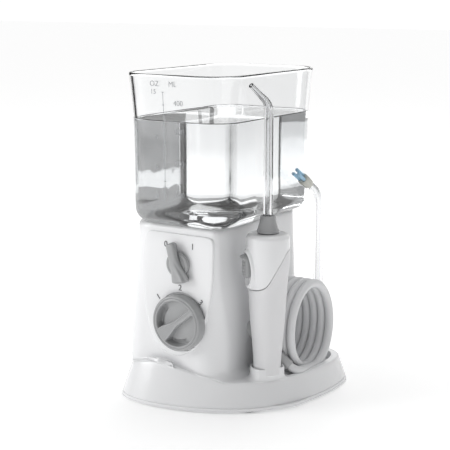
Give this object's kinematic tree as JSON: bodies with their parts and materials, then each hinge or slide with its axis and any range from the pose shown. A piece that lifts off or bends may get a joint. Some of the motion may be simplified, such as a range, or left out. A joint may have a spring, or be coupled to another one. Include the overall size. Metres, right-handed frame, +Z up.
{
  "type": "water flosser",
  "caption": "Countertop water flosser: pump base with pressure dial and switch, clear lift-off tank, wand in a cup, spare tip and coiled hose.",
  "frame": {"origin": "middle of the base's plan, on the surface the feet stand on", "axes": "+Z up through the tank, -Y towards the front with the dial, +X towards the handle side"},
  "size_m": [0.12, 0.128, 0.205],
  "materials": {
    "body_white": "gloss moulded",
    "grip_white": "fine satin texture",
    "control_grey": "satin",
    "clear_plastic": "clear polished",
    "hose_white": "smooth matt",
    "bristle_blue": "soft filament",
    "collar_beige": "satin",
    "foot_rubber": "matt",
    "screw_steel": "bright zinc",
    "motor_steel": "plated",
    "gear_nylon": "natural",
    "frame_black": "moulded",
    "board_green": "coated",
    "seal_rubber": "matt",
    "brass": "turned"
  },
  "bodies": {
    "base": {"base_tray": "body_white", "bottom_cover": "body_white", "rubber_feet": "foot_rubber", "cover_screws": "screw_steel", "mains_inlet_bushing": "control_grey", "tower_housing": "body_white", "tank_socket": "control_grey", "hose_sleeve": "hose_white", "regulator_body": "frame_black", "rotary_switch": "frame_black", "hose_coil": "hose_white", "hose_to_base": "hose_white", "hose_to_handle": "hose_white", "hose_boot": "hose_white", "mounting_plate": "frame_black", "pump_motor": "motor_steel", "gear_axle": "screw_steel", "pump_cylinder": "gear_nylon", "rectifier_board": "board_green", "board_components": "frame_black", "board_bracket": "frame_black"},
    "tank": {"tank": "clear_plastic", "tank_valve_body": "control_grey", "tank_valve_oring": "seal_rubber", "tank_valve_spring": "screw_steel"},
    "tank_poppet": {"tank_valve_poppet": "gear_nylon"},
    "dial": {"pressure_dial": "control_grey", "regulator_stem": "brass"},
    "switch": {"power_lever": "control_grey", "power_spindle": "brass"},
    "handle": {"handle_shell": "body_white", "handle_grip": "grip_white", "handle_valve": "gear_nylon", "handle_pipe": "clear_plastic", "release_spring": "screw_steel"},
    "slider": {"pause_slider": "control_grey"},
    "release": {"tip_release_button": "body_white"},
    "collar": {"tip_collar": "control_grey"},
    "jet": {"jet_tip": "clear_plastic"},
    "spare_tip": {"spare_tip_tube": "clear_plastic", "spare_tip_collar": "collar_beige", "spare_tip_bristles": "bristle_blue"},
    "rotor": {"motor_pinion": "brass"},
    "gear": {"drive_gear": "gear_nylon", "crank_pin": "screw_steel"},
    "rod": {"connecting_rod": "gear_nylon"},
    "piston": {"piston": "gear_nylon", "piston_seal": "seal_rubber"}
  },
  "joints": [
    {"name": "tank_lift", "type": "slide", "parent": "base", "child": "tank", "axis": [0, 0, 1], "range_m": [0, 0.06]},
    {"name": "tank_valve", "type": "slide", "parent": "tank", "child": "tank_poppet", "axis": [0, 0, 1], "range_m": [0, 0.0025], "stiffness_N_per_m": 120, "springref_m": -0.001, "deforming": ["tank_valve_spring"]},
    {"name": "dial_turn", "type": "hinge", "parent": "base", "child": "dial", "pos_m": [-0.0075, -0.05, 0.0543], "axis": [0, -1, 0], "range_deg": [0, 100]},
    {"name": "switch_turn", "type": "hinge", "parent": "base", "child": "switch", "pos_m": [-0.0095, -0.05, 0.09], "axis": [0, -1, 0], "range_deg": [-50, 0]},
    {"name": "handle_lift", "type": "slide", "parent": "base", "child": "handle", "axis": [0, 0, 1], "range_m": [0, 0.0065]},
    {"name": "pause_slide", "type": "slide", "parent": "handle", "child": "slider", "axis": [0, 0, 1], "range_m": [-0.004, 0]},
    {"name": "release_press", "type": "slide", "parent": "handle", "child": "release", "axis": [-0.6157, -0.788, 0], "range_m": [0, 0.0015], "stiffness_N_per_m": 400},
    {"name": "tip_turn", "type": "hinge", "parent": "handle", "child": "collar", "pos_m": [0.036, -0.021, 0.11], "axis": [0, 0, 1], "range_deg": [0, 200]},
    {"name": "tip_pull", "type": "slide", "parent": "collar", "child": "jet", "axis": [0, 0, 1], "range_m": [0, 0.012]},
    {"name": "spare_tip_lift", "type": "slide", "parent": "base", "child": "spare_tip", "axis": [0, 0, 1], "range_m": [0, 0.02]},
    {"name": "gear_spin", "type": "hinge", "parent": "base", "child": "gear", "pos_m": [-0.013, -0.0165, 0.042], "axis": [0, 1, 0], "continuous": true},
    {"name": "motor_spin", "type": "hinge", "parent": "base", "child": "rotor", "pos_m": [-0.013, -0.0165, 0.017], "axis": [0, 1, 0], "continuous": true},
    {"name": "rod_swing", "type": "hinge", "parent": "gear", "child": "rod", "pos_m": [-0.013, -0.0165, 0.045], "axis": [0, 1, 0], "continuous": true},
    {"name": "piston_stroke", "type": "slide", "parent": "base", "child": "piston", "axis": [0, 0, 1], "range_m": [-0.006, 0]}
  ],
  "couplings": [
    {"joint": "motor_spin", "follows": "gear_spin", "ratio": -4},
    {"joint": "rod_swing", "follows": "gear_spin", "ratio": -1}
  ]
}
